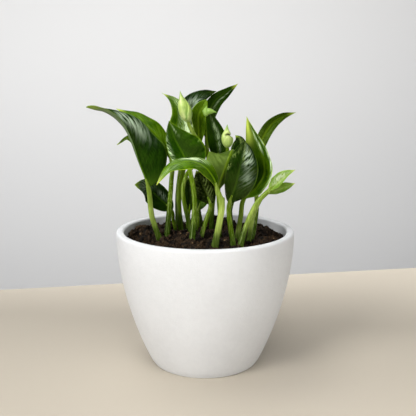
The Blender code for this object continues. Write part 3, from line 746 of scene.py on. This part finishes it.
def stalkPaint(s):
    paint = Paint("stalk_green", {"Specular IOR Level": s["specular"],
                                  "Specular Tint": s["specularTint"]})
    fibres = paint.cloud(paint.place((1, 1, 0.06)), s["fibres"], 2.0)
    blotch = paint.cloud(paint.place(), s["blotches"], 2.0)
    height = paint.value("share")
    tint = paint.blend(paint.rise(height + blotch * 0.5 - 0.25, 0.0, 0.85), s["low"], s["high"])
    light = paint.rise(fibres, 0.45, 0.75) * s["fibreMark"] + paint.value("light")
    tint = paint.blend(light, tint, s["pale"])
    foot = paint.rise(height + blotch * 0.06, *s["footTop"]) * s["footMark"]
    tint = paint.blend(foot, tint, s["footGreen"])
    return paint.feed(BaseColor=tint, Roughness=paint.rise(fibres, 0.3, 0.7, s["roughness"]),
                      Normal=paint.bump(fibres, s["relief"], 0.6))


def makeStalks(s):
    look = stalkPaint(s)
    for key, shoot in {**shoots, **buds}.items():
        rings, values = stalkRings(s, shoot)
        addRings("petiole_" + key, rings, values, look, ["stalk_" + key])


makeStalks(stalkSet)
print("stalks done")


leafSet = {
    "rows": 90, "columns": 33,
    "rowsOut": 0.9, "crowd": 0.35, "columnsOut": 0.85,              # closer towards ends and margins
    "thickness": 0.55 * mm, "end": 1.3 * mm, "tip": 0.12 * mm,      # and the half width at both ends
    "veins": 9.0, "slant": 0.30, "vary": 0.35,       # side veins on each half, their lean and offset
    "quilt": 0.32 * mm,                              # how far the blade rises between them
    "quiltFrom": (0.04, 0.3), "quiltTo": (0.75, 1.0),
    "ribWide": 0.9 * mm, "ribHigh": 0.8 * mm, "ribFade": 0.8,       # how much lower at the tip
    "grooveDeep": 0.5 * mm, "grooveWide": 0.72 * mm, "grooveFade": 0.6,
    "wave": 0.05, "waves": 3.2,                      # ripple of the margins, over the half width
    # paintedHighlightFrom and paintedHighlightTo: where the streaks of the painted highlight begin and are
    # full
    "mottle": 85.0, "fine": 420.0, "relief": 0.25 * mm, "paintedHighlightFrom": 0.34, "paintedHighlightTo": 0.70,
    "specular": 0.34, "specularTint": (0.7, 0.95, 0.22, 1.0),
    "glossier": 0.03, "duller": 0.09, "underDuller": 0.14,          # either side of shine, and below
    # where each marking starts and is full, in parts of the length or half width or in mm off the
    # rib, and how strong it is
    "veinEdge": (0.9, 0.3), "veinMark": 0.16, "rimEdge": (0.91, 0.99), "rimMark": 0.8,
    "ribEdge": (1.1, 0.35), "ribEnd": (1.0, 0.3), "ribMark": 0.75,
    "underRibEdge": (1.3, 0.5), "underRibMark": 0.8, "underMottle": 0.35,
    "footEdge": (0.14, 0.0), "footMark": 0.75, "tipEdge": (0.90, 1.05),
}
# deep and main are mixed over the upper face, with its midrib, rim and tip; under is the lower face,
# gleam is the painted highlight of the patches and dusk their painted shade, and shine is the roughness
leafColours = {
    "dark": dict(deep=(0.0025, 0.011, 0.0006), main=(0.009, 0.03, 0.0012), rib=(0.026, 0.062, 0.003),
                 under=(0.045, 0.085, 0.012), rim=(0.08, 0.16, 0.008), tip=(0.24, 0.38, 0.02),
                 paintedHighlight=(0.32, 0.4, 0.29), dusk=(0.0015, 0.006, 0.0004), shine=0.15),
    "mid": dict(deep=(0.007, 0.034, 0.0004), main=(0.024, 0.08, 0.0008), rib=(0.045, 0.115, 0.002),
                under=(0.07, 0.13, 0.006), rim=(0.16, 0.29, 0.01), tip=(0.48, 0.6, 0.05),
                paintedHighlight=(0.58, 0.76, 0.42), dusk=(0.004, 0.018, 0.0004), shine=0.15),
    "bright": dict(deep=(0.02, 0.066, 0.0004), main=(0.086, 0.182, 0.001), rib=(0.13, 0.25, 0.004),
                   under=(0.09, 0.18, 0.004), rim=(0.34, 0.5, 0.03), tip=(0.56, 0.68, 0.1),
                   paintedHighlight=(0.72, 0.88, 0.52), dusk=(0.006, 0.026, 0.0004), shine=0.16),
    "olive": dict(deep=(0.02, 0.046, 0.0006), main=(0.05, 0.098, 0.0012), rib=(0.15, 0.24, 0.01),
                  under=(0.054, 0.094, 0.013), rim=(0.16, 0.27, 0.01), tip=(0.34, 0.48, 0.04),
                  paintedHighlight=(0.22, 0.34, 0.08), dusk=(0.01, 0.024, 0.0006), shine=0.24),
    "young": dict(deep=(0.14, 0.29, 0.012), main=(0.32, 0.5, 0.08), rib=(0.42, 0.58, 0.12),
                  under=(0.26, 0.42, 0.04), rim=(0.46, 0.62, 0.12), tip=(0.58, 0.7, 0.14),
                  paintedHighlight=(0.66, 0.76, 0.5), dusk=(0.08, 0.18, 0.01), shine=0.2),
}


def leafRings(s, shoot, seed):
    # rib(u) + out side + lift up, for u along the rib and v across it. The half width grows and falls
    # as u^a (1-u)^b. Each side leaves the rib at its fold angle and bends as an arc by its curl:
    # out = width (sin(fold + curl v) - sin fold) / curl, and lift the same with cosines. Then come
    # the ripple, the quilting between veins, the thickness, the rib below and the groove above.
    # A side that doesn't curl is given a hundredth of a degree, as the arc divides by it.
    curve, joint = shootCurve(shoot)
    u = np.linspace(0, 1, s["rows"]) ** s["rowsOut"]
    u = 0.5 * (1 - np.cos(np.pi * u)) * s["crowd"] + u * (1 - s["crowd"])
    rib = along(curve, joint + (curve[1][-1] - joint) * u)
    ahead = unit(np.gradient(rib, axis=0))
    faces = np.array(shoot["face"], dtype=float)
    steps = np.linspace(0, 1, len(faces))
    looks = np.stack([np.interp(u, steps, faces[:, k]) for k in range(3)], axis=1)
    up = unit(looks - (looks * ahead).sum(axis=1, keepdims=True) * ahead)
    side = np.cross(ahead, up)
    v = np.linspace(1, -1, s["columns"])
    v = np.sign(v) * np.abs(v) ** s["columnsOut"]
    v = np.concatenate([v, v[-2:0:-1]])                       # across the upper face and back below
    above = np.concatenate([np.ones(s["columns"]), -np.ones(s["columns"] - 2)])
    across, rows = np.abs(v)[None], u[:, None]
    sideOf = (v > 0).astype(int)
    peak, b = (np.array(pair)[sideOf][None] for pair in (shoot["peak"], shoot.get("taper", (1.1, 1.1))))
    a = b * peak / (1 - peak)
    share = rows**a * (1 - rows)**b / (peak**a * (1 - peak)**b)
    half = np.maximum(share * shoot["half"] * mm, s["end"] * (1 - rows)**0.7 + s["tip"])
    scale = half * np.array(shoot.get("wide", (1, 1)))[sideOf]
    fold = np.radians(shoot["fold"])[sideOf][None]
    curl = np.radians(np.where(np.array(shoot["curl"]) == 0, 0.01, shoot["curl"]))[sideOf][None]
    bend = fold + curl * across
    out = np.sign(v) * scale * (np.sin(bend) - np.sin(fold)) / curl
    lift = scale * (np.cos(fold) - np.cos(bend)) / curl

    phase = seed * 1.7 + sideOf[None] * 2.1                   # so that no two margins ripple alike
    wave = s["wave"] * scale * across**2
    ripple = wave * np.sin(2 * np.pi * s["waves"] * rows * (1 + 0.1 * (seed % 3)) + phase)
    vein = s["veins"] * (rows - s["slant"] * across**1.2) + s["vary"] * sideOf[None]
    pillow = np.abs(np.sin(np.pi * vein)) ** 0.8
    quilt = s["quilt"] * share**0.7 * pillow * ease(across, *s["quiltFrom"])
    quilt = quilt * (1 - ease(across, *s["quiltTo"]))
    away = np.abs(out)
    thick = s["thickness"] / 2 * (1 - across**6)
    ridge = s["ribHigh"] * (1 - s["ribFade"] * rows) * hump(away, 0, s["ribWide"])
    groove = s["grooveDeep"] * (1 - s["grooveFade"] * rows) * hump(away, 0, s["grooveWide"]) * share
    offset = np.where(above > 0, thick - groove, -thick - ridge)
    lift = lift + ripple + quilt + offset * np.where(across >= 1, 0, 1)
    rings = rib[:, None] + out[..., None] * side[:, None] + lift[..., None] * up[:, None]

    none = np.zeros(out.shape)
    # painted light: the patches add up to a painted highlight above 0 and painted shade below 0; the fades
    # pale the blade, partly the leaf's own paler colour and partly a painted sheen
    paintedLight, fade = (sum((power * hump(rows, at, long) * hump(v[None], over, wide)
                       for at, over, long, wide, power in shoot.get(kind, [])), none)
                  for kind in ("paintedLightPatches", "paleSheens"))
    # tone scales each side's colour, partly its own depth of green and partly painted light and shade
    tone = np.array(shoot.get("tone", (1, 1)), dtype=float)[sideOf][None]
    values = {"along": rows, "across": v[None], "upper": above[None] > 0, "away": away / mm,
              "tone": tone, "pale": shoot.get("pale", 1.0), "fade": fade,
              "paintedHighlight": np.maximum(paintedLight, 0), "dusk": np.maximum(-paintedLight, 0)}
    return rings, {name: value + none for name, value in values.items()}


def leafPaint(s, name, c):
    paint = Paint("leaf_" + name, {"Specular IOR Level": s["specular"],
                                   "Specular Tint": s["specularTint"]})
    u, v, upper = paint.value("along"), paint.value("across"), paint.value("upper")
    away = paint.value("away")
    edge = abs(v)
    spot = paint.place()
    mottle = paint.cloud(spot, s["mottle"])
    fine = paint.cloud(spot, s["fine"], 2.0)
    streak = paint.cloud(paint.vector(u * 5.0 - edge * 2.0, v * 9.0, mottle), 3.0)
    vein = (u - edge * s["slant"]) * s["veins"]
    saw = paint.teeth(vein * 2.0)
    veinLine = paint.rise(saw, 0.80, 1.0) * paint.rise(edge, *s["veinEdge"])
    body = paint.blend(paint.rise(mottle * 0.55 + streak * 0.45, 0.38, 0.64), c["deep"], c["main"])
    body = paint.blend(veinLine * s["veinMark"], body, c["rib"])
    # painted shade: dark patches where the blade lies in shadow
    body = paint.blend(paint.value("dusk"), body, c["dusk"])
    # painted highlight: pale patches where light glints off the blade, broken into streaks along the veins
    sheen = paint.cloud(paint.vector(vein * 1.3, edge * 1.2, away * 0.02), 2.6, 2.0, 0.5)
    paintedHighlight = paint.value("paintedHighlight") * paint.rise(sheen, s["paintedHighlightFrom"], s["paintedHighlightTo"])
    body = paint.blend(paintedHighlight, body, c["paintedHighlight"])
    ribLine = paint.rise(away, *s["ribEdge"]) * paint.rise(u, *s["ribEnd"])
    body = paint.blend(ribLine * s["ribMark"], body, c["rib"])
    lower = paint.blend(paint.rise(streak, 0.3, 0.7) * s["underMottle"], c["under"], c["main"])
    lower = paint.blend(paint.rise(away, *s["underRibEdge"]) * s["underRibMark"], lower, c["rib"])
    tone = paint.blend(upper, lower, body)
    tone = paint.blend(paint.rise(edge, *s["rimEdge"]) * s["rimMark"], tone, c["rim"])
    tone = paint.blend(paint.rise(u, *s["footEdge"]) * s["footMark"], tone, c["rib"])
    # each side's colour scaled by its tone, partly painted light and shade
    tone = paint.node("ShaderNodeVectorMath", {"operation": "SCALE"}, {
        0: tone, "Scale": paint.value("tone")})
    # the tip pales, and each fade pales the blade too, partly the leaf's own paler colour and partly a
    # painted sheen
    tip = paint.rise(u + mottle * 0.08, *s["tipEdge"]) * paint.value("pale")
    tone = paint.blend(tip + paint.value("fade"), tone, c["tip"])
    shines = (c["shine"] - s["glossier"], c["shine"] + s["duller"])
    shine = paint.rise(streak * 0.6 + fine * 0.4, 0.3, 0.7, shines)
    thread = paint.teeth(vein * 6.0 + mottle * 2.0)
    relief = saw * -0.18 + thread * 0.15 * paint.rise(fine, 0.35, 0.6) + streak * 0.7 + fine * 0.1
    return paint.feed(BaseColor=tone, Roughness=shine + (1 - upper) * s["underDuller"],
                      Normal=paint.bump(relief, s["relief"], 0.6))


def makeLeaves(s):
    looks = {name: leafPaint(s, name, colours) for name, colours in leafColours.items()}
    for seed, (key, shoot) in enumerate(shoots.items()):
        rings, values = leafRings(s, shoot, seed)
        addRings("blade_" + key, rings, values, looks[shoot["look"]],
                 ["leaf_" + key])


makeLeaves(leafSet)
print("leaves done")


budSet = {
    "rows": 70, "around": 72,
    "overlap": 0.16, "twist": 2.2,                      # step at the seam, and how far the seam winds
    "seamAt": 1.1, "flute": 0.01, "flutes": 9,          # where it starts, and the fine flutes around
    "front": (0.3, -1.0, 0.0),                          # the side from which turns are counted
    "low": 0.68, "full": 0.85,                          # under 1: fullest lower down, and fuller
    "neck": 0.45, "neckFrom": (0.5, 0.95),              # how much thinner it is towards the tip
    "bow": 0.9 * mm, "gapAt": 0.55, "gapHigh": 0.045, "gapDeep": 0.4,
    "gapSide": 2.2, "gapWander": 0.03, "gapSpan": (-0.1, 0.5),      # where around, and how ragged
    "cream": (0.66, 0.76, 0.30), "lime": (0.46, 0.62, 0.14), "green": (0.16, 0.34, 0.03),
    "brown": (0.045, 0.060, 0.012), "streaks": 520.0, "clouds": 110.0, "relief": 0.2 * mm,
    "roughness": (0.28, 0.42),
    "streakMark": 0.7, "tipMark": 0.5, "footMark": 0.4, "seamMark": 0.6,      # how green each one is
}


def budRings(s, bud, seed):
    # A rolled leaf: centre + radius (cos, sin), a spindle sin(pi t^low)^full whose radius steps in at
    # a seam that winds round as it climbs, with a gap where the roll opens
    start, end = np.array(bud["rib"], dtype=float) * mm + (0, 0, soilLevel)
    ahead = unit(end - start)
    front = np.array(s["front"])
    front = unit(front - (front @ ahead) * ahead)
    side = np.cross(front, ahead)
    t = np.linspace(0, 1, s["rows"])[:, None]
    turn = np.linspace(0, 2 * np.pi, s["around"], endpoint=False)[None]
    body = np.sin(np.pi * np.clip(t, 0.004, 0.996)**s["low"])**s["full"]
    body = body * (1 - s["neck"] * ease(t, *s["neckFrom"]))
    ragged = s["gapWander"] * np.cos(2 * turn)
    gap = bud.get("gap", 0) * hump(t + ragged, s["gapAt"], s["gapHigh"])
    gap = gap * ease(np.cos(turn - s["gapSide"]), *s["gapSpan"])
    seam = (turn - s["seamAt"] - seed - s["twist"] * t) / (2 * np.pi) % 1
    roll = 1 - s["overlap"] * seam**1.5 + s["flute"] * np.sin(s["flutes"] * turn)
    radius = bud["half"] * mm * body * roll * (1 - s["gapDeep"] * gap)
    centre = start + t * (end - start) + side * s["bow"] * np.sin(3 * t) * t
    spoke = np.cos(turn)[..., None] * side + np.sin(turn)[..., None] * front
    values = {"along": t, "seam": seam, "gap": gap, "unripe": bud.get("unripe", 0.0)}
    return (centre[:, None] + radius[..., None] * spoke,
            {name: value + np.zeros(radius.shape) for name, value in values.items()})


def budPaint(s):
    paint = Paint("bud_green", {"Specular IOR Level": 0.5})
    u, seam = paint.value("along"), paint.value("seam")
    streak = paint.cloud(paint.place((1, 1, 0.12)), s["streaks"])
    cloudy = paint.cloud(paint.place(), s["clouds"], 2.0)
    tone = paint.blend(paint.rise(cloudy * 0.6 + streak * 0.4, 0.35, 0.65), s["lime"], s["cream"])
    for mask in (paint.rise(streak, 0.50, 0.66) * s["streakMark"], paint.rise(u, 0.7, 1.0) * s["tipMark"],
                 paint.rise(u, 0.15, 0.0) * s["footMark"], paint.rise(seam, 0.90, 1.0) * s["seamMark"],
                 paint.value("unripe")):
        tone = paint.blend(mask, tone, s["green"])
    tone = paint.blend(paint.value("gap"), tone, s["brown"])
    return paint.feed(BaseColor=tone, Roughness=paint.rise(streak, 0.3, 0.7, s["roughness"]),
                      Normal=paint.bump(streak, s["relief"], 0.5))


def makeBuds(s):
    look = budPaint(s)
    for seed, (key, curl) in enumerate(curls.items()):
        rings, values = budRings(s, curl, seed)
        addRings("curled_tip_" + key, rings, values, look)
    for seed, (key, bud) in enumerate(buds.items()):
        rings, values = budRings(s, bud, seed)
        addRings("rolled_leaf_" + key, rings, values, look, ["bud_" + key])


makeBuds(budSet)
print("buds done")
